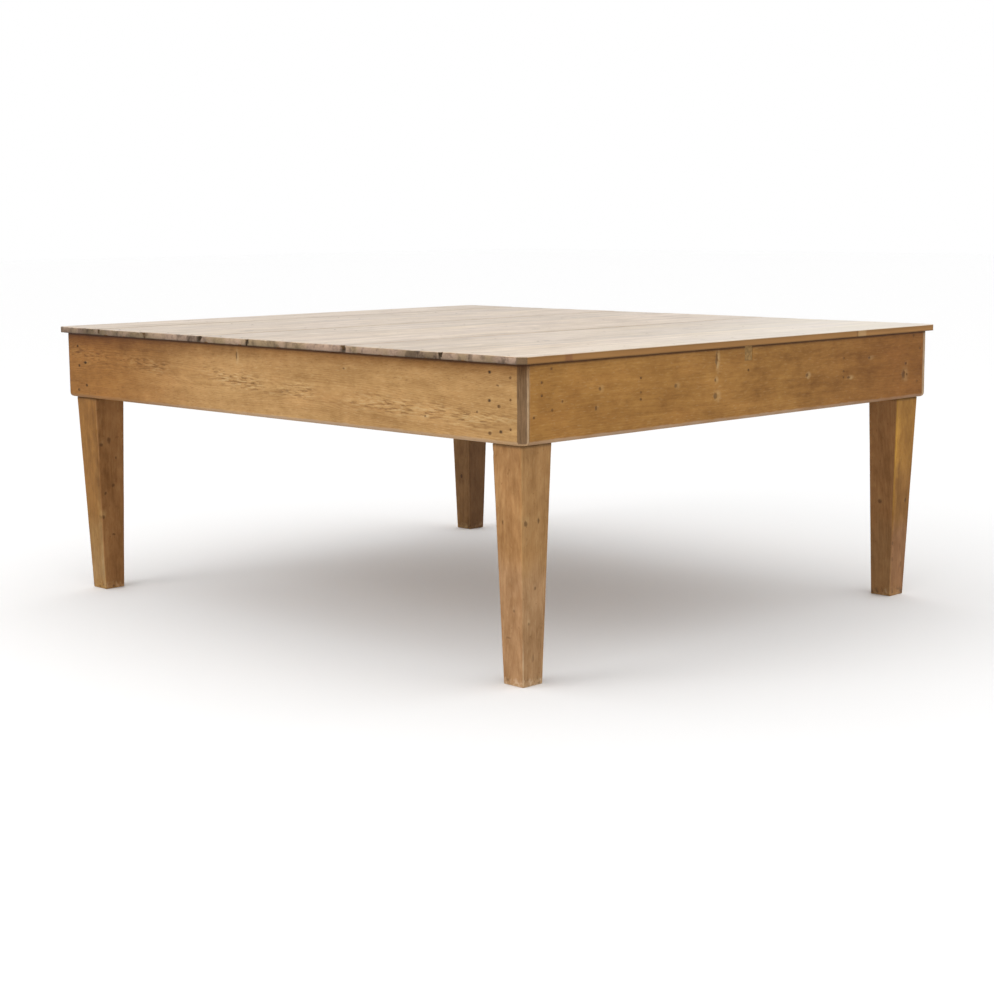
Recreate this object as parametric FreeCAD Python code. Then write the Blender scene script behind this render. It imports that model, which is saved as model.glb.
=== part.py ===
import FreeCAD, Part

import os

from FreeCAD import Placement, Rotation, Vector

# A large pine work table: seven tongued boards nailed onto four aprons and three deep bearers,
# with the aprons housed in rebated, tapered legs and nailed to them from outside.
# Millimetres. X runs along the front, Y from front to back, Z up.
# The origin lies on the floor, under the middle of the table.

# Overall sizes
table_length = 1922.0
table_depth = 1680.0
table_height = 780.0

# Table top
top_thickness = 18.0
top_overhang = 17.0
top_corner_clip = 17.0
board_gap = 0.8
tongue_width = 8.0
tongue_thickness = 6.0
tongue_clearance = 0.3
# Board widths from left to right, as shares of the table's length
board_width_shares = (0.1113, 0.1197, 0.1327, 0.1098, 0.2045, 0.1810, 0.1410)

# Aprons
apron_height = 188.0
apron_thickness = 24.0
apron_corner_clip = 14.0
apron_edge_radius = 11.5

# Legs, measured just under the aprons and at the floor
leg_width = 99.0
leg_set_in = 18.5
foot_width = 65.0
outer_taper = 21.0
foot_chamfer = 3.0

# Bearers across the underside: the centre one has end lugs that show through the side aprons
bearer_height = 120.0
bearer_thickness = 30.0
lug_height = 38.0
lug_clearance = 0.3
# Place of the outer bearers, as a share of the way from the middle to the long aprons
bearer_place_share = 0.52

# Nails
nail_length = 60.0
nail_radius = 1.6
nail_head_radius = 3.5
nail_head_thickness = 1.4
nail_set_depth = 0.8
fastener_clearance = 0.1
board_nail_length = 45.0
centre_nail_drop = 63.0

# Nails in the end of each apron: (share of the leg's head inwards, share of the apron's height)
front_right_nail_shares = ((0.86, 0.88), (0.87, 0.53), (0.54, 0.47), (0.14, 0.56),
                           (0.48, 0.16), (0.86, 0.13), (0.14, 0.20), (0.14, 0.83))
front_left_nail_shares = ((0.47, 0.50), (0.83, 0.55), (0.41, 0.12), (0.86, 0.20), (0.41, 0.80))
right_front_nail_shares = ((0.44, 0.76), (0.78, 0.92), (0.44, 0.60), (0.16, 0.34), (0.80, 0.41))
right_back_nail_shares = ((0.18, 0.74), (0.54, 0.94), (0.86, 0.37), (0.30, 0.25))

# Nails into the ends of the outer bearers: shares of the bearer's height, from below
bearer_nail_shares = (0.10, 0.24, 0.53)

# Nails along the top: shares of each board's width, and of half the depth for the side aprons
board_nail_shares = (0.30, 0.74)
side_nail_shares = (-0.70, -0.34, 0.30, 0.66)

# Cuts reach this far past the face that they start from, and edges are told apart by this much
overrun = 5.0
edge_tolerance = 0.01

# Derived places
top_under = table_height - top_thickness
apron_bottom = top_under - apron_height
apron_x = table_length / 2 - top_overhang
apron_y = table_depth / 2 - top_overhang
inner_x = apron_x - apron_thickness
inner_y = apron_y - apron_thickness
rebate_depth = apron_thickness - leg_set_in
head_width = leg_width - rebate_depth
nail_hole_radius = nail_radius + fastener_clearance
nail_recess_radius = nail_head_radius + fastener_clearance
nail_recess_depth = nail_set_depth + nail_head_thickness

up = Vector(0, 0, 1)
down = Vector(0, 0, -1)


def box_between(low, high):
    """A box from its lowest to its highest corner."""
    size = [high[i] - low[i] for i in range(len(low))]
    return Part.makeBox(*size, Vector(*low))


def prism(plan_points, bottom, top):
    """A plan outline, extruded from one height to another."""
    corners = [Vector(x, y, bottom) for x, y in plan_points]
    outline = Part.makePolygon(corners + corners[:1])
    return Part.Face(outline).extrude(up * (top - bottom))


def solid_from_rings(rings):
    """A closed solid with flat faces between rings of four corners, from the lowest ring upwards."""
    faces = [Part.Face(Part.makePolygon(rings[0] + rings[0][:1]))]
    for lower, upper in zip(rings, rings[1:]):
        for i in range(len(lower)):
            j = (i + 1) % len(lower)
            corners = [lower[i], lower[j], upper[j], upper[i], lower[i]]
            faces.append(Part.Face(Part.makePolygon(corners)))
    faces.append(Part.Face(Part.makePolygon(rings[-1] + rings[-1][:1])))
    solid = Part.makeSolid(Part.makeShell(faces))
    if solid.Volume < 0:
        solid.reverse()
    return solid


def pointing(shape, place, direction):
    """A shape made along +Z from the origin, turned to a direction and moved to a place."""
    shape.Placement = Placement(place, Rotation(up, direction))
    return shape


# Fasteners: each is given by the place where it enters the wood and the way it goes in

def nail(place, direction, length):
    head = Part.makeCylinder(nail_head_radius, nail_head_thickness, up * nail_set_depth)
    shank = Part.makeCylinder(nail_radius, length - nail_set_depth, up * nail_set_depth)
    return pointing(head.fuse(shank).removeSplitter(), place, direction)


def nail_hole(place, direction, length):
    shank = Part.makeCylinder(nail_hole_radius, length + overrun, up * -overrun)
    recess = Part.makeCylinder(nail_recess_radius, nail_recess_depth + overrun, up * -overrun)
    return pointing(shank.fuse(recess), place, direction)


def apron_nail_places(shares, across_sign, end_sign, along_x):
    """Places of the nails in one end of an apron, whose face is on the across_sign side."""
    places = []
    for inward_share, height_share in shares:
        inward = apron_thickness + inward_share * head_width
        height = apron_bottom + height_share * apron_height
        if along_x:
            places.append(Vector(end_sign * (apron_x - inward), across_sign * apron_y, height))
        else:
            places.append(Vector(across_sign * apron_x, end_sign * (apron_y - inward), height))
    return places


# The visible nails differ from end to end, and the two far aprons repeat the two near ones
apron_nails = {
    "front": [(p, Vector(0, 1, 0)) for p in
              apron_nail_places(front_right_nail_shares, -1, 1, True)
              + apron_nail_places(front_left_nail_shares, -1, -1, True)],
    "back": [(p, Vector(0, -1, 0)) for p in
             apron_nail_places(front_left_nail_shares, 1, 1, True)
             + apron_nail_places(front_right_nail_shares, 1, -1, True)],
    "right": [(p, Vector(-1, 0, 0)) for p in
              apron_nail_places(right_front_nail_shares, 1, -1, False)
              + apron_nail_places(right_back_nail_shares, 1, 1, False)],
    "left": [(p, Vector(1, 0, 0)) for p in
             apron_nail_places(right_back_nail_shares, -1, -1, False)
             + apron_nail_places(right_front_nail_shares, -1, 1, False)],
}
bearer_bottom = top_under - bearer_height
bearer_line_y = bearer_place_share * inner_y
bearer_lines = {"front": -bearer_line_y, "centre": 0, "back": bearer_line_y}


def bearer_nail_places():
    """One nail under each lug of the centre bearer, and a column of nails in each end of the outer ones."""
    heights = [bearer_bottom + share * bearer_height for share in bearer_nail_shares]
    nails = []
    for side in (-1, 1):
        places = [Vector(side * apron_x, 0, top_under - centre_nail_drop)]
        places += [Vector(side * apron_x, y, z) for y in (-bearer_line_y, bearer_line_y) for z in heights]
        nails += [(place, Vector(-side, 0, 0)) for place in places]
    return nails


bearer_nails = bearer_nail_places()


def board_edges():
    """Left and right edge of each board, from left to right."""
    edges = []
    left = -table_length / 2
    for share in board_width_shares:
        right = left + share * table_length / sum(board_width_shares)
        edges.append((left, right))
        left = right
    return edges


boards = board_edges()
apron_line_y = apron_y - apron_thickness / 2
apron_line_x = apron_x - apron_thickness / 2


def board_nail_places():
    """Two nails to a board over each long apron and bearer, and a row of nails over each side apron."""
    places = []
    lines = [-apron_line_y, *bearer_lines.values(), apron_line_y]
    for left, right in boards:
        for share in board_nail_shares:
            x = left + share * (right - left)
            places += [Vector(x, y, table_height) for y in lines]
    for side in (-1, 1):
        places += [Vector(side * apron_line_x, share * apron_y, table_height) for share in side_nail_shares]
    return [(p, down) for p in places]


board_nails = board_nail_places()


def pierced(shape, nails, length):
    """The shape with a hole for each nail."""
    return shape.cut([nail_hole(place, direction, length) for place, direction in nails])


# Wooden pieces

def top_board(index):
    """One board: clipped outer corners, a groove in its left edge and a tongue on its right edge."""
    left, right = boards[index]
    front, back = -table_depth / 2, table_depth / 2
    first, last = index == 0, index == len(boards) - 1
    left += 0 if first else board_gap / 2
    right -= 0 if last else board_gap / 2
    clip_left = top_corner_clip if first else 0
    clip_right = top_corner_clip if last else 0
    outline = [(left + clip_left, front), (right - clip_right, front)]
    if last:
        outline += [(right, front + clip_right), (right, back - clip_right)]
    outline += [(right - clip_right, back), (left + clip_left, back)]
    if first:
        outline += [(left, back - clip_left), (left, front + clip_left)]
    board = prism(outline, top_under, table_height)
    middle = top_under + top_thickness / 2
    if not last:
        half = tongue_thickness / 2
        tongue = box_between((right, front, middle - half),
                             (right + board_gap + tongue_width, back, middle + half))
        board = board.fuse(tongue).removeSplitter()
    if not first:
        half = tongue_thickness / 2 + tongue_clearance
        groove = box_between((left - overrun, front - overrun, middle - half),
                             (left + tongue_width + tongue_clearance, back + overrun, middle + half))
        board = board.cut(groove)
    reach = tongue_width + board_gap
    near = [n for n in board_nails if left <= n[0].x <= right + reach]
    return pierced(board, near, board_nail_length)


def rounded_below(shape, is_outer):
    """The shape with its lower outer edges rounded over."""
    low = [edge for edge in shape.Edges if edge.BoundBox.ZMax < apron_bottom + edge_tolerance]
    return shape.makeFillet(apron_edge_radius, [edge for edge in low if is_outer(edge.CenterOfMass)])


def long_apron(side):
    """The front or back apron, which runs through to the side faces and has clipped corners."""
    clip = apron_corner_clip
    outer, inner = side * apron_y, side * inner_y
    outline = [(-apron_x + clip, outer), (apron_x - clip, outer), (apron_x, outer - side * clip),
               (apron_x, inner), (-apron_x, inner), (-apron_x, outer - side * clip)]
    apron = prism(outline, apron_bottom, top_under)
    apron = rounded_below(apron, lambda p: abs(p.y) > inner_y + edge_tolerance)
    apron = pierced(apron, apron_nails["front" if side < 0 else "back"], nail_length)
    return pierced(apron, board_nails, board_nail_length)


def side_apron(side):
    """The left or right apron, which butts between the long aprons and is notched for the centre bearer."""
    outer, inner = side * apron_x, side * inner_x
    low, high = sorted((outer, inner))
    apron = box_between((low, -inner_y, apron_bottom), (high, inner_y, top_under))
    apron = rounded_below(apron, lambda p: abs(p.x) > apron_x - edge_tolerance)
    half = bearer_thickness / 2 + lug_clearance
    notch = box_between((low - overrun, -half, top_under - lug_height - lug_clearance),
                        (high + overrun, half, top_under + overrun))
    apron = apron.cut(notch)
    own_nails = apron_nails["left" if side < 0 else "right"]
    apron = pierced(apron, own_nails + [n for n in bearer_nails if n[0].x * side > 0], nail_length)
    return pierced(apron, board_nails, board_nail_length)


def leg(side_x, side_y):
    """A tapered leg whose head is rebated for the two aprons that it carries."""
    face_x, face_y = apron_x - leg_set_in, apron_y - leg_set_in

    def ring(height, outer_in, width):
        offsets = [(0, 0), (width, 0), (width, width), (0, width)]
        return [Vector(side_x * (face_x - outer_in - a), side_y * (face_y - outer_in - b), height)
                for a, b in offsets]

    rise_share = foot_chamfer / apron_bottom
    low_in = outer_taper * (1 - rise_share)
    low_width = foot_width + (leg_width - foot_width) * rise_share
    rings = [ring(0, low_in + foot_chamfer, low_width - foot_chamfer * 2),
             ring(foot_chamfer, low_in, low_width),
             ring(apron_bottom, 0, leg_width)]
    shaft = solid_from_rings(rings)
    head_low = (inner_x - head_width, inner_y - head_width, apron_bottom)
    head_high = (inner_x, inner_y, top_under)
    head = box_between(head_low, head_high)
    if side_x < 0:
        head = head.mirror(Vector(0, 0, 0), Vector(1, 0, 0))
    if side_y < 0:
        head = head.mirror(Vector(0, 0, 0), Vector(0, 1, 0))
    whole = shaft.fuse(head).removeSplitter()
    nails = [n for group in apron_nails.values() for n in group
             if n[0].x * side_x > 0 and n[0].y * side_y > 0]
    return pierced(whole, nails, nail_length)


def bearer(name):
    """A deep bearer between the side aprons. The centre one has lugs that lie in the aprons' notches."""
    y = bearer_lines[name]
    front, back = y - bearer_thickness / 2, y + bearer_thickness / 2
    piece = box_between((-inner_x, front, bearer_bottom), (inner_x, back, top_under))
    if name == "centre":
        lugs = box_between((-apron_x, front, top_under - lug_height), (apron_x, back, top_under))
        piece = piece.fuse(lugs).removeSplitter()
    piece = pierced(piece, [n for n in board_nails if front < n[0].y < back], board_nail_length)
    return pierced(piece, [n for n in bearer_nails if front < n[0].y < back], nail_length)


def nail_group(nails, length):
    return Part.makeCompound([nail(place, direction, length) for place, direction in nails])


def build():
    """Every piece by its node's name."""
    pieces = {}
    for index in range(len(boards)):
        pieces[f"top_board_{index + 1}"] = top_board(index)
    for y_name, side_y in (("front", -1), ("back", 1)):
        pieces[f"apron_{y_name}"] = long_apron(side_y)
        for x_name, side_x in (("left", -1), ("right", 1)):
            pieces[f"leg_{y_name}_{x_name}"] = leg(side_x, side_y)
    for x_name, side_x in (("left", -1), ("right", 1)):
        pieces[f"apron_{x_name}"] = side_apron(side_x)
    for name in bearer_lines:
        pieces[f"bearer_{name}"] = bearer(name)
    for name, nails in apron_nails.items():
        pieces[f"apron_nails_{name}"] = nail_group(nails, nail_length)
    pieces["bearer_nails"] = nail_group(bearer_nails, nail_length)
    pieces["board_nails"] = nail_group(board_nails, board_nail_length)
    return pieces


if __name__ == "__main__":
    os.makedirs("parts", exist_ok=True)
    for name, shape in build().items():
        shape.exportStep(f"parts/{name}.step")
        print(name, "solids", len(shape.Solids), "volume", round(shape.Volume), "valid", shape.isValid())
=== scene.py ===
import math
from types import SimpleNamespace

import bmesh
import bpy
import numpy as np
from mathutils import Matrix, Vector, noise


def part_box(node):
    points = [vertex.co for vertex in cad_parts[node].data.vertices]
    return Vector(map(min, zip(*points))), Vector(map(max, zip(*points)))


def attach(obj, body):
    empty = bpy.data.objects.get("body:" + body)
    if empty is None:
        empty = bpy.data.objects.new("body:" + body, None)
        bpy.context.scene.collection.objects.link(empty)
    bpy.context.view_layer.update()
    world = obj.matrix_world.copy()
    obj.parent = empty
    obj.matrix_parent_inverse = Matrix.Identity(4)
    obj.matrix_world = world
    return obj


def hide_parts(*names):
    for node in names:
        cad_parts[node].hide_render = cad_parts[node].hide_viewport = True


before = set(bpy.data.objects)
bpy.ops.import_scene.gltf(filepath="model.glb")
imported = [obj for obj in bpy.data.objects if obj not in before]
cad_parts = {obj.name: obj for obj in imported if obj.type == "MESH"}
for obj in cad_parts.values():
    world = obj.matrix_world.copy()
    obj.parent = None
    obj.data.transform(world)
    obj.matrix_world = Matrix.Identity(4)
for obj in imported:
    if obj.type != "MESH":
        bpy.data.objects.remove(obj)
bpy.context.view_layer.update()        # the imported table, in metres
print("frame loaded:", len(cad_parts), "nodes")


# Node trees: one class wraps a socket, so that sums on it add nodes

class Wire:
    def __init__(self, tree, socket=None):
        self.tree = tree
        self.socket = socket

    def node(self, kind, settings=None, sockets=None, out=0):
        made = self.tree.nodes.new(kind)
        for name, value in (settings or {}).items():
            setattr(made, name, value)
        for key, value in (sockets or {}).items():
            self.feed(made.inputs[key], value)
        if isinstance(out, tuple):
            return [Wire(self.tree, made.outputs[key]) for key in out]
        return Wire(self.tree, made.outputs[out])

    def feed(self, socket, value):
        if isinstance(value, Wire):
            self.tree.links.new(value.socket, socket)
        elif socket.type == "VECTOR" and isinstance(value, (int, float)):
            socket.default_value = (value, value, value)
        elif socket.type == "RGBA" and len(value) == 3:
            socket.default_value = (*value, 1.0)
        else:
            socket.default_value = value

    def isVector(self, value):
        if isinstance(value, Wire):
            return value.socket.type in ("VECTOR", "RGBA")
        return isinstance(value, (tuple, Vector))

    def sum(self, operation, first, second):
        anyVector = self.isVector(first) or self.isVector(second)
        kind = "ShaderNodeVectorMath" if anyVector else "ShaderNodeMath"
        return self.node(kind, {"operation": operation}, {0: first, 1: second})

    def __add__(self, other):
        return self.sum("ADD", self, other)

    def __radd__(self, other):
        return self.sum("ADD", other, self)

    def __sub__(self, other):
        return self.sum("SUBTRACT", self, other)

    def __rsub__(self, other):
        return self.sum("SUBTRACT", other, self)

    def __mul__(self, other):
        return self.sum("MULTIPLY", self, other)

    def __rmul__(self, other):
        return self.sum("MULTIPLY", other, self)

    def __truediv__(self, other):
        return self.sum("DIVIDE", self, other)

    def __pow__(self, other):
        return self.sum("POWER", self, other)

    def __abs__(self):
        return self.sum("ABSOLUTE", self, 0.0)

    def atLeast(self, other):
        return self.sum("MAXIMUM", self, other)

    def atMost(self, other):
        return self.sum("MINIMUM", self, other)

    def sign(self):
        return self.sum("SIGN", self, 0.0)

    def below(self, other):
        return self.sum("LESS_THAN", self, other)

    def split(self):
        return self.node("ShaderNodeSeparateXYZ", sockets={0: self}, out=(0, 1, 2))

    def join(self, x, y, z):
        return self.node("ShaderNodeCombineXYZ", sockets={0: x, 1: y, 2: z})

    def dot(self, other):
        return self.node("ShaderNodeVectorMath", {"operation": "DOT_PRODUCT"}, {0: self, 1: other}, "Value")

    def unit(self):
        return self.node("ShaderNodeVectorMath", {"operation": "NORMALIZE"}, {0: self})

    # 0 to 1, eased, as the value goes from low to high
    def rise(self, low, high):
        return self.node("ShaderNodeMapRange", {"interpolation_type": "SMOOTHSTEP"},
                         {"Value": self, "From Min": low, "From Max": high})

    def fall(self, low, high):
        return 1 - self.rise(low, high)

    # this value is the share of the second colour
    def colours(self, first, second):
        return self.node("ShaderNodeMix", {"data_type": "RGBA"}, {0: self, 6: first, 7: second}, 2)

    def noise(self, scale, seed=0.0, detail=2.0, roughness=0.5):
        sockets = {"Vector": self, "W": seed, "Scale": scale, "Detail": detail, "Roughness": roughness}
        return self.node("ShaderNodeTexNoise", {"noise_dimensions": "4D"}, sockets)


def newTree(name, inlets):
    tree = bpy.data.node_groups.new(name, "GeometryNodeTree")
    ids = {}
    for label, kind in inlets.items():
        inlet = tree.interface.new_socket(label, in_out="INPUT", socket_type="NodeSocket" + kind)
        ids[label] = inlet.identifier
    tree.interface.new_socket("Geometry", in_out="OUTPUT", socket_type="NodeSocketGeometry")
    given = tree.nodes.new("NodeGroupInput")
    return tree, ids, {label: Wire(tree, given.outputs[label]) for label in inlets}


def closeTree(tree, geometry, material):
    whole = geometry.node("GeometryNodeRealizeInstances", sockets={0: geometry})
    done = whole.node("GeometryNodeSetMaterial", sockets={0: whole, 2: material})
    tree.links.new(done.socket, tree.nodes.new("NodeGroupOutput").inputs[0])


def addPiece(name, mesh=None):
    piece = bpy.data.objects.new(name, mesh or bpy.data.meshes.new(name))
    bpy.context.scene.collection.objects.link(piece)
    return piece


def growTree(piece, tree, ids, values):
    grown = piece.modifiers.new(tree.name, "NODES")
    grown.node_group = tree
    for label, value in values.items():
        grown[ids[label]] = value


# Turns what the modifiers make into a plain mesh
def settle(piece):
    graph = bpy.context.evaluated_depsgraph_get()
    mesh = bpy.data.meshes.new_from_object(piece.evaluated_get(graph))
    piece.modifiers.clear()
    spare = piece.data
    piece.data = mesh
    bpy.data.meshes.remove(spare)
    mesh.name = piece.name
    return piece


def drop(piece):
    spare = piece.data
    bpy.data.objects.remove(piece)
    bpy.data.meshes.remove(spare)


# Worn timber: a box with crowded cuts, uneven arrises, chips, clipped corners, a roundover and a taper

timberInlets = {
    "Size": "Vector", "Centre": "Vector", "Cuts X": "Int", "Cuts Y": "Int", "Cuts Z": "Int",
    "Crowding": "Vector", "Arris": "Float", "Arris Wander": "Float",
    "Chip Depth": "Float", "Chip Pitch": "Float", "Chip Level": "Float", "Long Chips": "Float",
    "Hollow": "Float", "Clip": "Float", "Clip Side": "Vector", "Roundover": "Float", "Face Side": "Vector",
    "Foot Share": "Float", "Foot Shift": "Vector", "Seed": "Float", "Material": "Material",
}


def wornTimberTree():
    tiny = 0.0001            # a clip or roundover under this counts as none
    endFrom, endFull = 0.03, 0.005   # where chips begin near a board's ends, and are at their most
    tree, ids, given = newTree("wornTimber", timberInlets)
    pen = given["Size"]
    block = pen.node("GeometryNodeMeshCube", sockets={
        "Size": (2.0, 2.0, 2.0), "Vertices X": given["Cuts X"], "Vertices Y": given["Cuts Y"],
        "Vertices Z": given["Cuts Z"]})
    unitSpot = pen.node("GeometryNodeInputPosition")
    crowded = [t.sign() * (1 - (1 - abs(t)).atLeast(0.0) ** power)
               for t, power in zip(unitSpot.split(), given["Crowding"].split())]
    half = given["Size"] * 0.5
    halfX, halfY, halfZ = half.split()
    spot = pen.join(*crowded) * half
    seed = given["Seed"]

    # arris radius: wanders along the edge and grows where the edge is chipped
    chips = spot.noise(given["Chip Pitch"], seed, 1.0)
    atEnd = abs(spot.split()[1]).rise(halfY - endFrom, halfY - endFull)
    chipped = chips.rise(given["Chip Level"], given["Chip Level"] + 0.12)
    chipped = chipped * (given["Long Chips"] + (1 - given["Long Chips"]) * atEnd)
    radius = given["Arris"] + given["Arris Wander"] * spot.noise(9.0, seed + 3.0)
    radius = radius + given["Chip Depth"] * chipped
    radius = radius.atMost(halfX.atMost(halfY).atMost(halfZ) * 0.9)
    core = half - radius
    inner = spot.atMost(core).atLeast(core * -1.0)
    outward = (spot - inner).unit()
    shaped = inner + outward * radius
    shaped = shaped - outward * (given["Hollow"] * spot.noise(3.0, seed + 7.0))

    # clipped corners: both ends where the side is 0, one end where it is 1 or -1
    clipSide = given["Clip Side"] + (1 - abs(given["Clip Side"])) * shaped.sign()
    clipSide = clipSide * (1.0, 1.0, 0.0)
    limit = halfX + halfY - given["Clip"] - given["Arris Wander"] * spot.noise(22.0, seed + 11.0) * 0.7
    over = (shaped.dot(clipSide) - limit).atLeast(0.0) * (tiny - given["Clip"]).below(0.0)
    shaped = shaped - clipSide * (over * 0.5)

    # roundover along the lower edge of one face, carried round the clipped ends
    face = given["Face Side"]
    across = 1 - abs(face)
    endSide = across * shaped.sign() * (1.0, 1.0, 0.0)
    square = (given["Clip"] - tiny).below(0.0) * 10.0     # far off, where nothing is clipped
    inFace = abs(face).dot(half) - shaped.dot(face)
    inClip = (limit - shaped.dot(clipSide)) * math.sqrt(0.5) + square
    inEnd = (across * (1.0, 1.0, 0.0)).dot(half - abs(shaped)) + square
    heading = face + (clipSide * math.sqrt(0.5) - face) * inClip.below(inFace)
    heading = heading + (endSide - heading) * inEnd.below(inFace.atMost(inClip))
    rounding = given["Roundover"] + given["Arris Wander"] * spot.noise(6.0, seed + 5.0)
    rounding = rounding * (tiny - given["Roundover"]).below(0.0)
    outDepth = (rounding - inFace.atMost(inClip).atMost(inEnd)).atLeast(0.0)
    lowDepth = (rounding - (shaped.split()[2] + halfZ)).atLeast(0.0)
    squash = 1 - outDepth.atLeast(lowDepth) / (outDepth * outDepth + lowDepth * lowDepth + 1e-12) ** 0.5
    both = (0 - outDepth).below(-1e-7) * (0 - lowDepth).below(-1e-7)
    shaped = shaped - heading * (outDepth * squash * both) + pen.join(0.0, 0.0, lowDepth * squash * both)

    # taper towards the low end
    rise = (shaped.split()[2] + halfZ) / (halfZ * 2.0)
    share = given["Foot Share"] + (1 - given["Foot Share"]) * rise
    shaped = shaped * pen.join(share, share, 1.0) + given["Foot Shift"] * (1 - rise)

    placed = pen.node("GeometryNodeSetPosition", sockets={0: block, "Position": shaped + given["Centre"]})
    smooth = pen.node("GeometryNodeSetShadeSmooth", sockets={0: placed, "Shade Smooth": True})
    closeTree(tree, smooth, given["Material"])
    return tree, ids


timberTree, timberIds = wornTimberTree()
plainTimber = {
    "Crowding": (1.5, 1.5, 1.5), "Arris": 0.0012, "Arris Wander": 0.0012,
    "Chip Depth": 0.003, "Chip Pitch": 30.0, "Chip Level": 0.64, "Long Chips": 1.0, "Hollow": 0.0005,
    "Clip": 0.0, "Clip Side": (0.0, 0.0, 0.0), "Roundover": 0.0, "Face Side": (0.0, 0.0, 0.0),
    "Foot Share": 1.0, "Foot Shift": (0.0, 0.0, 0.0),
}
overrun = 0.01                     # how far a cutting box runs past the wood
sharpAngle = math.radians(50)      # edges steeper than this are drawn sharp


def timber(name, low, high, cuts, look):
    piece = addPiece(name)
    low, high = Vector(low), Vector(high)
    values = {**plainTimber, **look, "Size": tuple(high - low), "Centre": tuple((low + high) / 2)}
    values.update({"Cuts " + axis: count for axis, count in zip("XYZ", cuts)})
    growTree(piece, timberTree, timberIds, values)
    return piece


def boxPiece(name, low, high):
    mesh = bpy.data.meshes.new(name)
    shape = bmesh.new()
    size = Vector(high) - Vector(low)
    middle = (Vector(high) + Vector(low)) / 2
    bmesh.ops.create_cube(shape, size=1.0, matrix=Matrix.Translation(middle) @ Matrix.Diagonal((*size, 1.0)))
    shape.to_mesh(mesh)
    shape.free()
    return addPiece(name, mesh)


# Cuts the tools out of a timber, or joins them to it, then hands it to the frame
def finishTimber(piece, tools, material, node):
    for tool, operation in tools:
        cut = piece.modifiers.new("cut", "BOOLEAN")
        cut.operation = operation
        cut.solver = "MANIFOLD"
        cut.object = tool
    mesh = settle(piece).data
    mesh.materials.clear()
    mesh.materials.append(material)
    mesh.polygons.foreach_set("material_index", np.zeros(len(mesh.polygons), np.int32))
    mesh.set_sharp_from_angle(angle=sharpAngle)
    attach(piece, "root")
    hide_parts(node)
    for tool, operation in tools:
        drop(tool)
    print("timber:", piece.name, len(mesh.polygons), "faces")


# Nails, set where the frame has them

nailLook = {
    "headRadius": 0.0031, "rim": 0.0005, "dome": 0.0004, "crown": 0.0004, "underside": 0.0013,
    "neck": 0.0014, "shankRadius": 0.0016, "sides": 12, "wobble": 0.12,
    "waxedStain": 0.35, "waxedFrom": (0.895, 0.800),   # front nails past this (x, -y) are waxed over
}
pitLook = {
    "mouth": 0.0038, "floor": 0.0033, "below": 0.0006, "above": 0.004, "sides": 14, "wobble": 0.1,
}


# Each nail of a node: the middle of its head's outer face, the way out of the wood, and its length
def nailPlaces(node):
    shape = bmesh.new()
    shape.from_mesh(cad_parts[node].data)
    bmesh.ops.remove_doubles(shape, verts=shape.verts, dist=1e-6)
    places = []
    todo = set(shape.verts)
    while todo:
        island, edge = set(), [todo.pop()]
        while edge:
            vert = edge.pop()
            island.add(vert)
            near = {e.other_vert(vert) for e in vert.link_edges} & todo
            todo -= near
            edge.extend(near)
        points = np.array([v.co for v in island])
        low, high = points.min(0), points.max(0)
        axis = int(np.argmax(high - low))
        middle = (low + high) / 2
        offAxis = np.delete(points - middle, axis, 1)
        wide = points[np.hypot(*offAxis.T) > 0.9 * np.hypot(*offAxis.T).max(), axis].mean()
        outward = Vector((0.0, 0.0, 0.0))
        outward[axis] = 1.0 if wide > middle[axis] else -1.0
        head = Vector(middle)
        head[axis] = high[axis] if wide > middle[axis] else low[axis]
        places.append((head, outward, float(high[axis] - low[axis])))
    shape.free()
    return sorted(places, key=lambda place: tuple(round(v, 4) for v in place[0]))


nailNodes = sorted(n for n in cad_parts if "nails" in n)
nails = {node: nailPlaces(node) for node in nailNodes}
allNails = [place for node in nailNodes for place in nails[node]]
print("nails:", len(allNails))

fastenerInlets = {
    "Points": "Geometry", "Shape": "Object", "Wobble": "Float", "Seed": "Int", "Material": "Material",
}


def fastenerTree():
    tree, ids, given = newTree("setNails", fastenerInlets)
    pen = given["Wobble"]

    def random(low, high):
        return pen.node("FunctionNodeRandomValue", {"data_type": "FLOAT"},
                        {2: low, 3: high, "Seed": given["Seed"]}, 1)

    outward = pen.node("GeometryNodeInputNamedAttribute", {"data_type": "FLOAT_VECTOR"}, {"Name": "outward"})
    aim = pen.node("FunctionNodeAlignRotationToVector", {"axis": "Z"}, {"Vector": outward})
    spin = random(0.0, math.tau)
    turn = pen.node("FunctionNodeEulerToRotation", sockets={0: pen.join(0.0, 0.0, spin)})
    aim = pen.node("FunctionNodeRotateRotation", {"rotation_space": "LOCAL"}, {0: aim, 1: turn})
    spread = random(1 - given["Wobble"], 1.0)
    shape = pen.node("GeometryNodeObjectInfo", out="Geometry",
                     sockets={0: given["Shape"], "As Instance": True})
    nailed = pen.node("GeometryNodeInstanceOnPoints", sockets={
        "Points": given["Points"], "Instance": shape, "Rotation": aim,
        "Scale": pen.join(spread, spread, 1.0)})
    closeTree(tree, nailed, given["Material"])
    return tree, ids


nailTree, nailIds = fastenerTree()


def onPoints(name, places, shape, wobble, seed, material=None):
    mesh = bpy.data.meshes.new(name)
    mesh.from_pydata([tuple(head) for head, outward, length in places], [], [])
    ways = mesh.attributes.new("outward", "FLOAT_VECTOR", "POINT")
    ways.data.foreach_set("vector", [c for head, outward, length in places for c in outward])
    piece = addPiece(name, mesh)
    values = {"Shape": shape, "Wobble": wobble, "Seed": seed}
    if material:
        values["Material"] = material
    growTree(piece, nailTree, nailIds, values)
    return settle(piece)


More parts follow.
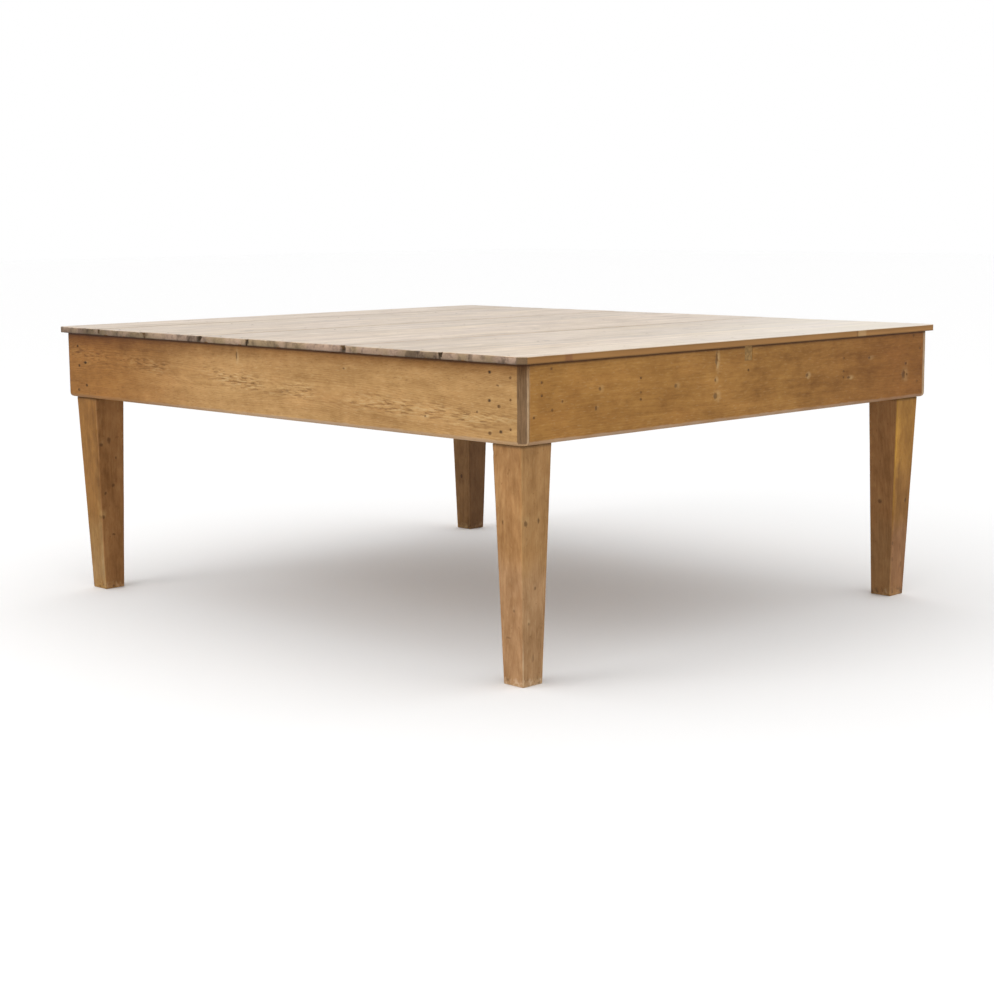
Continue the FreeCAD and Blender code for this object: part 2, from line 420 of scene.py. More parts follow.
# A turned shape: rings of (radius, height) from the bottom up, closed at both ends
def turned(name, rings, sides):
    verts, faces = [], []
    for radius, height in rings:
        for k in range(sides):
            angle = math.tau * k / sides
            verts.append((radius * math.cos(angle), radius * math.sin(angle), height))
    for row in range(len(rings) - 1):
        for k in range(sides):
            a, b = row * sides + k, row * sides + (k + 1) % sides
            faces.append((a, b, b + sides, a + sides))
    faces.append(tuple(range(sides))[::-1])
    faces.append(tuple(range((len(rings) - 1) * sides, len(rings) * sides)))
    mesh = bpy.data.meshes.new(name)
    mesh.from_pydata(verts, [], faces)
    return addPiece(name, mesh)


def nailShape(length):
    n = nailLook
    shank, head = n["shankRadius"], n["headRadius"]
    return turned("nailShape", [
        (shank * 0.5, -length), (shank, -length * 0.9), (shank, -n["neck"]),
        (head, -n["underside"]), (head, -n["dome"] - n["rim"]), (head - n["rim"], -n["dome"]),
        (head * 0.5, -n["dome"] * 0.25), (n["crown"], 0.0)], n["sides"])


def pitShape():
    p = pitLook
    return turned("pitShape", [
        (p["floor"], -p["below"]), (p["floor"] * 1.04, 0.0), (p["mouth"], p["above"])], p["sides"])


pit = pitShape()


def nailsIn(low, high, reach=0.003):
    return [n for n in allNails
            if all(low[i] - reach <= n[0][i] <= high[i] + reach for i in range(3))]


def pitsIn(low, high, seed):
    return onPoints("pits", nailsIn(low, high), pit, pitLook["wobble"], seed)


# Chips: rough lumps that are cut out of an edge

lumpLook = {"roughness": 0.35, "pitch": 1.6, "subdivisions": 3}


def lump(name, centre, size, seed):
    mesh = bpy.data.meshes.new(name)
    shape = bmesh.new()
    bmesh.ops.create_icosphere(shape, subdivisions=lumpLook["subdivisions"], radius=1.0)
    for vert in shape.verts:
        spot = vert.co * lumpLook["pitch"] + Vector((seed, 0, 0))
        bumpy = 1 + lumpLook["roughness"] * noise.noise(spot)
        vert.co = vert.co * bumpy * Vector(size) + Vector(centre)
    shape.to_mesh(mesh)
    shape.free()
    return addPiece(name, mesh)


# Old pine: rings round a wandering pith, so that faces, edges and end grain agree

pineLook = {
    "early": (0.445, 0.256, 0.096), "late": (0.297, 0.151, 0.051), "warm": (0.381, 0.195, 0.065),
    "pale": (0.56, 0.39, 0.19), "dark": (0.13, 0.058, 0.018), "knot": (0.075, 0.032, 0.011),
    "worn": (0.42, 0.28, 0.165), "stain": (0.040, 0.024, 0.014),
    "ring": 0.0040, "pith": (0.0, 0.05), "drift": (0.0, 0.0), "wander": 0.05, "contrast": 0.45,   # rings
    "vigour": 1.0, "clouds": 1.0, "flecks": 1.0, "specks": 0.25, "feather": None,   # how tones vary
    "knots": (), "dents": (), "sideDents": (), "wear": 0.5, "wearWidth": 0.004, "stainShare": 0.5,
    "roughness": 0.5, "gloss": 0.12, "ior": 1.48, "bumpStrength": 0.45, "bumpDepth": 0.0006, "seed": 0.0,
}


# What every mark on a timber is drawn from: places along the grain, noise, and distances in from the faces
def pineParts(tree, look, low, high, order, taper):
    pen = Wire(tree)
    middle, half = (low + high) / 2, (high - low) / 2
    spot = pen.node("ShaderNodeTexCoord", out="Object") - middle
    axes = dict(zip("xyz", spot.split()))
    along, across, through = (axes[c] for c in order)
    halves = [half["xyz".index(c)] for c in order]

    # noise drawn out along the grain
    def figure(alongScale, acrossScale, shift, detail=2.0, roughness=0.5, start=along):
        vector = pen.join(start * alongScale, across * acrossScale, through * acrossScale)
        return vector.noise(1.0, look["seed"] + shift, detail, roughness)

    # the taper is taken out of the distances
    edgeAcross, edgeThrough = across, through
    if taper:
        footShare, shiftAcross, shiftThrough = taper
        rise = (along + halves[0]) / (2 * halves[0])
        share = footShare + (1 - footShare) * rise
        edgeAcross = (across - shiftAcross * (1 - rise)) / share
        edgeThrough = (through - shiftThrough * (1 - rise)) / share
    inAlong = halves[0] - abs(along)
    inAcross = halves[1] - abs(edgeAcross)
    inThrough = halves[2] - abs(edgeThrough)
    fromEdge = inAlong.atMost(inAcross).atLeast(inAlong.atLeast(inAcross).atMost(inThrough))
    return SimpleNamespace(
        pen=pen, shader=tree.nodes["Principled BSDF"], figure=figure, axes=axes, middle=middle, half=half,
        along=along, across=across, through=through, halves=halves, edges=(edgeAcross, edgeThrough),
        inAlong=inAlong, inAcross=inAcross, fromEdge=fromEdge,
        ragged=figure(90.0, 90.0, 31.0, 2.0) - 0.5, ruffle=figure(40.0, 40.0, 12.0, 2.0) - 0.5,
        patchy=figure(7.0, 7.0, 14.0, 2.0).rise(0.3, 0.65))


def longest(first, second):
    return second if first is None else first.atLeast(second)


# Knots: (along, across, radius) from the middle of the piece
def knotMasks(parts, knots):
    core, halo = None, None
    for knotAlong, knotAcross, radius in knots:
        u = (parts.along - knotAlong) * 0.72
        v = parts.across - knotAcross
        far = (u * u + v * v) ** 0.5 / radius * (1.0 + parts.ragged * 0.9)
        core = longest(core, far.fall(0.6, 1.1))
        halo = longest(halo, far.fall(0.8, 3.0))
    return core, halo


# Dents: (along, across, half length, half height, burr), dark inside with a pale burr beside them
def dentMasks(parts, dents, sideDents):
    dent, burr = None, None
    for marks, flat, inward in ((dents, parts.across, parts.halves[2] - abs(parts.through)),
                                (sideDents, parts.through, parts.halves[1] - abs(parts.across))):
        onFace = inward.fall(0.006, 0.03)
        for dentAlong, dentFlat, reachAlong, reachFlat, paleness in marks:
            u = (parts.along - dentAlong) / reachAlong + parts.ragged * 1.6
            v = (flat - dentFlat) / reachFlat + parts.ragged * 0.8
            beside = u - 1.0
            dent = longest(dent, ((u * u + v * v) ** 0.5).fall(0.4, 1.1) * onFace)
            burr = longest(burr, ((beside * beside + v * v) ** 0.5).fall(0.5, 2.3) * onFace * paleness)
    return dent, burr


# Growth rings, bent round the knots: 1 in the late wood of each
def lateWoodMask(parts, look, knotHalo):
    along, figure = parts.along, parts.figure

    def lengthwise(scale, shift):
        return parts.pen.node("ShaderNodeTexNoise", {"noise_dimensions": "1D"}, {
            "W": along * scale + (look["seed"] + shift), "Scale": 1.0, "Detail": 1.0}) - 0.5

    driftAcross, driftThrough = look["drift"]
    pithAcross, pithThrough = look["pith"]
    offAcross = parts.across - (along * driftAcross + pithAcross) - lengthwise(1.4, 1.0) * look["wander"]
    offThrough = parts.through - (along * driftThrough + pithThrough) - lengthwise(1.1, 9.0) * look["wander"]
    warp = (figure(4.0, 16.0, 17.0) - 0.5) * 0.014 + (figure(26.0, 60.0, 19.0) - 0.5) * 0.0035
    phase = ((offAcross * offAcross + offThrough * offThrough) ** 0.5 + warp) / look["ring"]
    if knotHalo is not None:
        phase = phase + knotHalo * 1.6
    turnOf = parts.pen.node("ShaderNodeMath", {"operation": "FRACT"}, {0: phase})
    return turnOf.rise(0.2, 0.8) * turnOf.fall(0.85, 1.0)


# A feathered band of torn figure that crosses the face: (across, slope, half width)
def featherBand(parts, look, colour):
    bandAcross, slope, width = look["feather"]
    off = abs(parts.across - bandAcross - parts.along * slope + parts.ragged * 0.012)
    band = off.fall(width * 0.10, width) * parts.figure(5.0, 12.0, 25.0).rise(0.36, 0.58)
    torn = parts.figure(34.0, 230.0, 23.0, 2.0, 0.6, parts.along + off * 1.8)
    colour = (torn.fall(0.38, 0.48) * band * 0.50).colours(colour, look["pale"])
    return (torn.rise(0.53, 0.63) * band * 0.66).colours(colour, look["dark"])


# Nail stains, which run a little way along the grain
def nailStains(parts, look, colour, places, order):
    for head, outward, length in places:
        flat = [(head - parts.middle)["xyz".index(c)] for c in order]
        facing = [abs(outward["xyz".index(c)]) for c in order]
        if facing[0]:
            continue
        u = (parts.along - flat[0]) * 0.7
        v = parts.across - flat[1] if facing[2] else parts.through - flat[2]
        far = (u * u + v * v) ** 0.5 + parts.ruffle * 0.003
        isWaxed = outward.y < 0 and head.x > nailLook["waxedFrom"][0]
        faded = nailLook["waxedStain"] if isWaxed else 1.0
        colour = (far.fall(0.0026, 0.0056) * (look["stainShare"] * faded)).colours(colour, look["stain"])
    return colour


# order: the axes along the grain, across the face and through it; extra adds the marks of a piece's own
def pine(name, look, low, high, order, taper=None, extra=None):
    look = {**pineLook, **look}
    material = bpy.data.materials.new(name)
    material.use_nodes = True
    low, high = Vector(low), Vector(high)
    parts = pineParts(material.node_tree, look, low, high, order, taper)
    pen, shader, figure = parts.pen, parts.shader, parts.figure
    knotCore, knotHalo = knotMasks(parts, look["knots"])
    dent, burr = dentMasks(parts, look["dents"], look["sideDents"])
    lateWood = lateWoodMask(parts, look, knotHalo)

    # tones, from fine fibres to broad clouds, and flecks
    fibre = figure(9.0, 420.0, 2.0, 3.0, 0.6) - 0.5
    streak = figure(2.2, 60.0, 4.0, 3.0, 0.65) - 0.5
    blotch = figure(5.0, 14.0, 6.0, 3.0, 0.6) - 0.5
    cloud = figure(1.6, 5.0, 7.0, 2.0) - 0.5
    fleck = figure(48.0, 260.0, 8.0, 2.0)
    mottle = figure(20.0, 38.0, 10.0, 3.0, 0.65) - 0.5
    speck = figure(130.0, 160.0, 35.0, 0.0).rise(0.73, 0.80)
    darkFleck = fleck.rise(0.56, 0.67) * (0.55 + cloud)
    paleFleck = fleck.fall(0.33, 0.44) * (0.60 + blotch)
    colour = (lateWood * look["contrast"] * (0.7 + blotch * 1.5)).colours(look["early"], look["late"])
    colour = (blotch.rise(-0.06, 0.20) * 0.55).colours(colour, look["warm"])
    patches = blotch * 0.75 + cloud * 0.45 + mottle * 0.55
    tone = 1 + (fibre * 0.30 + streak * 0.62 + patches * look["clouds"]) * look["vigour"]
    tone = tone.atLeast(0.3)
    colour = colour * pen.join(tone ** 0.8, tone, tone ** 1.3)     # darker patches are redder
    colour = (paleFleck * 0.42 * look["flecks"]).colours(colour, look["pale"])
    colour = (darkFleck * 0.42 * look["flecks"]).colours(colour, look["dark"])
    colour = (speck * look["specks"]).colours(colour, look["dark"])

    # marks
    if look["feather"]:
        colour = featherBand(parts, look, colour)
    if knotCore is not None:
        colour = (knotHalo * 0.35).colours(colour, look["late"])
        colour = (knotCore * 0.75).colours(colour, look["knot"])
    if dent is not None:
        colour = (burr * (1 + parts.ragged * 4.0)).colours(colour, look["pale"])
        colour = (dent * 0.65).colours(colour, look["knot"])
    worn = (parts.fromEdge + parts.ruffle * 0.006).fall(0.0005, look["wearWidth"])
    worn = worn * parts.patchy * look["wear"]
    colour = worn.colours(colour, look["worn"])
    colour = nailStains(parts, look, colour, nailsIn(low, high), order)

    rough = look["roughness"] + fibre * 0.25 + worn * 0.12 - blotch * 0.16
    height = lateWood * 0.3 + fibre * 0.9 + streak * 0.6 + paleFleck * 0.3 - darkFleck * 0.5
    if dent is not None:
        height = height - dent * 2.0
    if extra:
        colour, rough, height = extra(parts, colour, rough, height)
    bump = pen.node("ShaderNodeBump", sockets={
        "Strength": look["bumpStrength"], "Distance": look["bumpDepth"], "Height": height})
    pen.feed(shader.inputs["Base Color"], colour)
    pen.feed(shader.inputs["Roughness"], rough)
    pen.feed(shader.inputs["Normal"], bump)
    shader.inputs["IOR"].default_value = look["ior"]
    shader.inputs["Specular IOR Level"].default_value = look["gloss"]
    return material


# Top boards: scrubbed pale above, brown at the sides, grey end grain with knocked corners at the joints

boardLook = {
    "cuts": (90, 300, 9), "gap": 0.0005, "clip": 0.017,
    "tongue": 0.0080, "tongueThick": 0.0060, "tongueRoot": 0.004, "tongueInset": 0.002,
    "grooveSlack": 0.0003, "grooveShare": 0.55,      # half the groove's height, as a share of the tongue's
    "setBack": (0.0015, 0.0005, 0.0022, 0.0008, 0.0018, 0.0003, 0.0),   # front ends, behind the longest
    "sunk": (0.0004, 0.0008, 0.0002, 0.0007, 0.0, 0.0005, 0.0001),      # tops, below the highest
    "timber": {"Crowding": (1.7, 1.6, 1.4), "Arris": 0.0005, "Arris Wander": 0.0010, "Chip Depth": 0.0058,
               "Chip Pitch": 38.0, "Chip Level": 0.56, "Long Chips": 0.08, "Hollow": 0.0007},
    "pine": {"early": (0.55, 0.40, 0.255), "late": (0.40, 0.275, 0.160), "warm": (0.51, 0.355, 0.215),
             "worn": (0.54, 0.41, 0.275), "pale": (0.63, 0.49, 0.34), "dark": (0.27, 0.17, 0.095),
             "knot": (0.19, 0.105, 0.050), "ring": 0.0045, "contrast": 1.1, "roughness": 0.42, "wear": 0.2,
             "flecks": 0.8, "stainShare": 0.3, "vigour": 3.2, "clouds": 0.42},
    "side": (0.40, 0.205, 0.068), "sideLate": (0.235, 0.110, 0.033), "coatRoughness": 0.42,
    "olive": (0.33, 0.232, 0.130), "pink": (0.46, 0.315, 0.225), "corner": (0.145, 0.096, 0.056),
    # of these, the pale cream tone is painted sheen, lighter towards the back right of the top
    "grime": (0.065, 0.040, 0.024), "bleached": (0.78, 0.72, 0.61), "deepGrime": (0.052, 0.034, 0.019),
    "smudge": (0.26, 0.17, 0.10),
    "tints": (1.0, 0.96, 1.04, 0.95, 1.09, 1.00, 1.19),
    "endTints": (0.62, 0.68, 0.80, 0.92, 0.94, 0.90, 0.88),
    "piths": ((0.03, -0.06), (-0.05, -0.045), (0.02, -0.075), (0.06, -0.05), (-0.02, -0.06), (0.05, -0.08),
              (-0.04, -0.05)),
    "knots": (
        ((0.31, 0.03, 0.011), (-0.42, -0.05, 0.008)), ((-0.12, 0.04, 0.009), (0.55, -0.03, 0.012)),
        ((0.08, -0.07, 0.010), (-0.61, 0.05, 0.013)), ((0.46, 0.06, 0.009), (-0.30, -0.02, 0.007)),
        ((-0.05, 0.09, 0.012), (0.62, -0.10, 0.009), (-0.52, -0.05, 0.008)),
        ((0.24, 0.02, 0.010), (-0.38, 0.08, 0.009)), ((0.52, -0.06, 0.010), (-0.10, 0.05, 0.008)),
    ),
    # knocked-out corners where boards meet at the front: (x from the joint, size), and how wide, deep and high
    "chipShape": (1.0, 1.1, 1.3),
    "jointChips": ((0.004, 0.006), (-0.003, 0.007), (0.006, 0.010), (0.001, 0.007), (-0.004, 0.009),
                   (0.003, 0.008)),
    # grime in these corners: (reach, darkness)
    "joints": ((0.004, 0.35), (0.006, 0.4), (0.014, 0.85), (0.005, 0.95), (0.010, 0.9), (0.008, 0.8)),
    # stains on the front end grain, the last one painted shade on the rounding at the left end: (x, half
    # width)
    "endStains": ((0.632, 0.055), (0.592, 0.018), (-0.279, 0.034), (-0.82, 0.035), (0.797, 0.006),
                  (-0.955, 0.012)),
    # right edge of the last board: (y, half length, colour)
    "sideMarks": ((-0.685, 0.014, (0.17, 0.060, 0.032)), (0.476, 0.020, (0.50, 0.33, 0.16)),
                  (0.452, 0.002, (0.05, 0.024, 0.010))),
}
boardNodes = sorted(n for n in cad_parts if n.startswith("top_board"))


# Grime along one edge of a board, and in its front corner
def jointGrime(parts, colour, side, joint, depth, down):
    b = boardLook
    reach, darkness = joint
    ruffle, inAlong = parts.ruffle, parts.inAlong
    atFront = parts.along.fall(-0.1, 0.1)
    seam = (side + ruffle * 0.0014).fall(0.0003, 0.0018) * (0.02 + parts.patchy * 0.16)
    colour = seam.colours(colour, b["grime"])
    smudge = (side + ruffle * 0.02).fall(0.002, 0.030)
    smudge = smudge * parts.figure(3.2, 24.0, 55.0, 2.0).rise(0.50, 0.66) * (1 - down)
    colour = (smudge * 0.5).colours(colour, b["smudge"])
    notch = (side + ruffle * 0.008).fall(reach * 0.4, reach) * inAlong.fall(0.011, 0.020)
    notch = notch * atFront * depth.rise(0.0008, 0.0030)
    colour = (notch * darkness).colours(colour, b["deepGrime"])
    cavity = side.fall(0.014, 0.020) * inAlong.rise(0.0012, 0.0030) * inAlong.fall(0.014, 0.024)
    cavity = cavity * atFront * depth.rise(0.0006, 0.0020)
    return (cavity * 0.65).colours(colour, b["deepGrime"])


def boardExtra(i, topHeight, middleX):
    b = boardLook
    first, last = i == 0, i == len(boardNodes) - 1
    joints = (None if first else b["joints"][i - 1], None if last else b["joints"][i])
    outside = -1.0 if first else 1.0

    def add(parts, colour, rough, height):
        pen, figure, ruffle, inAlong = parts.pen, parts.figure, parts.ruffle, parts.inAlong
        depth = topHeight - parts.axes["z"]
        # painted sheen: the top lighter towards the back right
        bleached = (parts.axes["x"] + middleX + parts.along * 0.5).rise(0.35, 1.25)
        colour = (bleached * 0.62).colours(colour * b["tints"][i], b["bleached"])
        blushed = figure(2.2, 8.0, 65.0) - 0.5       # straw to rose
        colour = colour * pen.join(1 + blushed * 0.05, 1 + blushed * 0.01, 1 - blushed * 0.42)

        # the long edges
        down = depth.rise(0.0005, 0.0024) if last else depth.rise(0.0010, 0.0034)
        brown = figure(6.0, 110.0, 41.0, 3.0).colours(b["sideLate"], b["side"])
        brown = brown * (0.80 + depth.rise(0.002, 0.012) * 0.18)
        if last:
            for markY, reach, markTone in b["sideMarks"]:
                marked = (abs(parts.along - markY) + ruffle * reach).fall(reach * 0.6, reach * 1.2)
                brown = (marked * 0.45).colours(brown, markTone)
        colour = down.colours(colour, brown)

        # sawn ends
        saw = figure(40.0, 380.0, 43.0, 2.0, 0.7)
        dirt = figure(30.0, 45.0, 45.0, 3.0, 0.6).rise(0.44, 0.68)
        smear = figure(6.0, 9.0, 47.0, 2.0).rise(0.40, 0.66)
        frayed = depth + (figure(60.0, 34.0, 67.0) - 0.5) * 0.0050
        ends = inAlong.fall(0.0008, 0.0036) * frayed.rise(0.0004, 0.0018)
        blush = figure(9.0, 13.0, 49.0, 2.0).rise(0.36, 0.62)
        endGrain = blush.colours(b["olive"], b["pink"]) * (1.12 - depth.rise(0.001, 0.014) * 0.30)
        endGrain = (dirt * 0.50 + smear * 0.28).colours(endGrain, b["grime"])
        endGrain = endGrain * ((0.6 + saw * 0.8) * b["endTints"][i])
        # stains on the end grain, and painted shade at the left end
        for stainX, reach in b["endStains"]:
            offStain = abs(parts.axes["x"] - (stainX - middleX)) + ruffle * 0.03
            stainAndShade = offStain.fall(reach * 0.8, reach * 1.15) * parts.along.fall(-0.1, 0.1)
            endGrain = (stainAndShade * (0.45 + dirt * 0.45)).colours(endGrain, b["grime"])
        colour = ends.colours(colour, endGrain)
        if first or last:
            inClip = inAlong + parts.inAcross + ruffle * 0.004 + (parts.across * outside).fall(-0.02, 0.0)
            clipped = inClip.fall(0.0178, 0.0200) * depth.rise(0.0004, 0.0022)
            corner = pen.join(*b["corner"]) * (0.5 + saw + smear * 0.5)
            colour = (clipped * 0.85).colours(colour, corner)
        # painted shade: the bottom of the board's edges and its underside darker
        colour = colour * (1 - depth.rise(0.0135, 0.0175) * 0.45)

        for joint, side in zip(joints, (parts.half.x + parts.across, parts.half.x - parts.across)):
            if joint:
                colour = jointGrime(parts, colour, side, joint, depth, down)
        pen.feed(parts.shader.inputs["Coat Weight"], 1 - down)
        parts.shader.inputs["Coat Roughness"].default_value = b["coatRoughness"]
        return colour, rough + down * 0.12, height
    return add


def makeBoards():
    b = boardLook
    corners = {n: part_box(n) for n in boardNodes}
    for i, node in enumerate(boardNodes):
        low, high = corners[node]
        first, last = i == 0, i == len(boardNodes) - 1
        tongueRight = high.x
        if not last:
            high = Vector((corners[boardNodes[i + 1]][0].x - b["gap"], high.y, high.z))
        low = Vector((low.x, low.y + b["setBack"][i], low.z))
        high = Vector((high.x, high.y - b["setBack"][-1 - i], high.z - b["sunk"][i]))
        look = {**b["timber"], "Seed": 10.0 + i}
        if first or last:
            look["Clip"] = b["clip"]
            look["Clip Side"] = (-1.0 if first else 1.0, 0.0, 0.0)
        piece = timber(node.replace("top_board", "topBoard"), low, high, b["cuts"], look)

        tools = [(pitsIn(low, high, i), "DIFFERENCE")]
        middle = (low.z + high.z) / 2
        if not first:
            deep = b["tongue"] + b["grooveSlack"]
            thick = b["tongueThick"] * b["grooveShare"]
            groove = boxPiece("groove", (low.x - overrun, low.y - overrun, middle - thick),
                              (low.x + deep, high.y + overrun, middle + thick))
            tools.append((groove, "DIFFERENCE"))
        if not last:
            thick = b["tongueThick"] / 2
            tongue = boxPiece("tongue", (high.x - b["tongueRoot"], low.y + b["tongueInset"], middle - thick),
                              (tongueRight, high.y - b["tongueInset"], middle + thick))
            tools.append((tongue, "UNION"))
        for k in (i - 1, i):
            if 0 <= k < len(b["jointChips"]):
                shift, size = b["jointChips"][k]
                joint = corners[boardNodes[k + 1]][0].x
                sizes = [size * share for share in b["chipShape"]]
                chip = lump("chip", (joint + shift, low.y, high.z), sizes, 3.0 + k)
                tools.append((chip, "DIFFERENCE"))

        grain = {**b["pine"], "pith": b["piths"][i], "knots": b["knots"][i], "seed": 3.0 * i}
        extra = boardExtra(i, (high.z - low.z) / 2, (low.x + high.x) / 2)
        material = pine(node + "Pine", grain, low, high, "yxz", extra=extra)
        finishTimber(piece, tools, material, node)


makeBoards()


# Aprons: deep boards on edge, rounded below, the long ones clipped at the corners

apronLook = {
    "longCuts": (420, 11, 34), "longCrowding": (1.25, 1.4, 1.8),
    "sideCuts": (11, 380, 34), "sideCrowding": (1.4, 1.25, 1.8),
    "roundover": 0.0115, "clip": 0.014, "notchDepth": 0.0383, "notchSlack": 0.0004, "pitSeed": 5,
    "timber": {"Arris": 0.0012, "Arris Wander": 0.0012, "Chip Depth": 0.0022, "Chip Pitch": 26.0,
               "Hollow": 0.0006},
    "lowTone": (0.40, 0.275, 0.180), "cornerTone": (0.165, 0.096, 0.050), "endTone": (0.40, 0.275, 0.165),
    # painted shadow along the aprons' top edge under the top, and painted shade with old grime under the front
    # overhang
    "topGrime": (0.055, 0.020, 0.008), "dusk": (0.50, 0.37, 0.22),
    "leftShade": (0.64, 0.485, 0.285), "farShade": (0.72, 0.60, 0.49),   # on the front, on the right apron
    "front": {
        "pith": (-0.012, 0.034), "drift": (-0.045, 0.0), "ring": 0.0034, "wander": 0.045, "contrast": 0.5,
        "seed": 41.0, "feather": (-0.006, -0.045, 0.036), "flecks": 1.0, "vigour": 1.1, "clouds": 1.35,
        "dents": ((0.865, 0.042, 0.008, 0.0028, 0.15), (-0.116, 0.064, 0.0040, 0.014, 0.5),
                  (0.322, 0.053, 0.005, 0.003, 0.2), (0.797, -0.023, 0.005, 0.003, 0.1),
                  (-0.845, 0.010, 0.012, 0.004, 0.5), (0.62, -0.045, 0.006, 0.003, 0.3))},
    "right": {
        "pith": (0.02, -0.085), "ring": 0.0042, "wander": 0.05, "contrast": 0.32, "seed": 57.0,
        "flecks": 0.8, "vigour": 1.25, "clouds": 1.4, "stainShare": 0.12, "pale": (0.46, 0.30, 0.130),
        "early": (0.310, 0.147, 0.033), "late": (0.224, 0.097, 0.021), "warm": (0.272, 0.116, 0.024),
        "dents": ((-0.575, -0.023, 0.005, 0.007, 0.1), (-0.562, 0.021, 0.006, 0.006, 0.25),
                  (-0.690, 0.001, 0.004, 0.004, 0.05), (-0.287, 0.010, 0.007, 0.006, 0.3),
                  (0.250, 0.002, 0.007, 0.006, 0.55), (0.438, -0.016, 0.010, 0.004, 0.6),
                  (0.702, -0.024, 0.010, 0.014, 0.55), (0.712, 0.006, 0.006, 0.005, 0.2),
                  (-0.129, 0.066, 0.0055, 0.022, 0.55), (-0.133, 0.014, 0.005, 0.006, 0.45),
                  (-0.133, -0.026, 0.009, 0.010, 0.4), (0.535, 0.032, 0.009, 0.004, 0.5))},
    "back": {
        "pith": (0.02, -0.05), "drift": (0.03, 0.0), "ring": 0.0038, "contrast": 0.5, "seed": 71.0,
        "knots": ((0.52, 0.03, 0.010), (-0.21, -0.04, 0.008), (-0.70, 0.02, 0.007))},
    "left": {
        "pith": (-0.03, 0.06), "ring": 0.0042, "contrast": 0.45, "seed": 83.0,
        "early": (0.37, 0.20, 0.062), "knots": ((0.36, 0.02, 0.009), (-0.44, -0.03, 0.007))},
}
apronSides = {
    "front": (0.0, -1.0, 0.0), "back": (0.0, 1.0, 0.0), "left": (-1.0, 0.0, 0.0), "right": (1.0, 0.0, 0.0),
}


def apronExtra(side, way):
    a = apronLook

    def add(parts, colour, rough, height):
        figure, along, half, ruffle = parts.figure, parts.along, parts.half, parts.ruffle
        tall = half.z * 2
        up = parts.axes["z"] + half.z
        strip = (up + ruffle * 0.006).fall(0.0070, 0.0125) * (0.35 + parts.patchy * 0.50)
        colour = strip.colours(colour, a["lowTone"])
        if way[1]:
            inFace = half.y - parts.axes["y"] * way[1]
            clipped = (parts.inAlong + inFace + ruffle * 0.004).fall(0.0152, 0.0178)
            butt = parts.inAlong.fall(0.0006, 0.0024)
            endGrain = parts.pen.join(*a["endTone"]) * (0.55 + figure(30.0, 60.0, 53.0) * 0.9)
            colour = (butt * 0.8).colours(colour, endGrain)
            smear = figure(420.0, 22.0, 51.0, 3.0, 0.65) * 2.0 - 0.05
            colour = (clipped * 0.88).colours(colour, parts.pen.join(*a["cornerTone"]) * smear)
        if side == "front":
            colour = along.fall(-0.78, -0.05).colours(colour, colour * a["leftShade"])
            # painted shade with old grime under the top's front overhang, darkest just below the top
            below = tall - up + ruffle * 0.012 + (figure(9.0, 14.0, 57.0) - 0.5) * 0.02
            overhangGrimeAndShadeShare = below.fall(0.0, 0.046) * 0.62 + below.fall(0.0, 0.090) * 0.30
            colour = overhangGrimeAndShadeShare.colours(colour, colour * a["dusk"])
        if side == "right":
            colour = along.rise(0.10, 0.75).colours(colour, colour * a["farShade"])
        # painted shadow: the apron darkened along its top edge, under the top
        shadow = (up + ruffle * 0.002).rise(tall - 0.0085, tall - 0.0035)
        colour = (shadow * 0.8).colours(colour, a["topGrime"])
        return colour, rough, height
    return add


def makeAprons():
    a = apronLook
    for side, way in apronSides.items():
        node = "apron_" + side
        low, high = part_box(node)
        kind = "long" if way[1] else "side"
        look = {**a["timber"], "Roundover": a["roundover"], "Face Side": way, "Seed": a[side]["seed"],
                "Crowding": a[kind + "Crowding"]}
        if kind == "long":
            look["Clip"] = a["clip"]
            look["Clip Side"] = way
        piece = timber("apron" + side.title(), low, high, a[kind + "Cuts"], look)
        tools = [(pitsIn(low, high, a["pitSeed"]), "DIFFERENCE")]
        if kind == "side":
            lugLow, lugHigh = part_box("bearer_centre")
            slack = a["notchSlack"]
            notch = boxPiece("notch", (low.x - overrun, lugLow.y - slack, lugHigh.z - a["notchDepth"]),
                             (high.x + overrun, lugHigh.y + slack, high.z + overrun))
            tools.append((notch, "DIFFERENCE"))
        order = "xzy" if kind == "long" else "yzx"
        material = pine(node + "Pine", a[side], low, high, order, extra=apronExtra(side, way))
        finishTimber(piece, tools, material, node)


makeAprons()


# Legs: tapered shafts with heads that stand behind the aprons

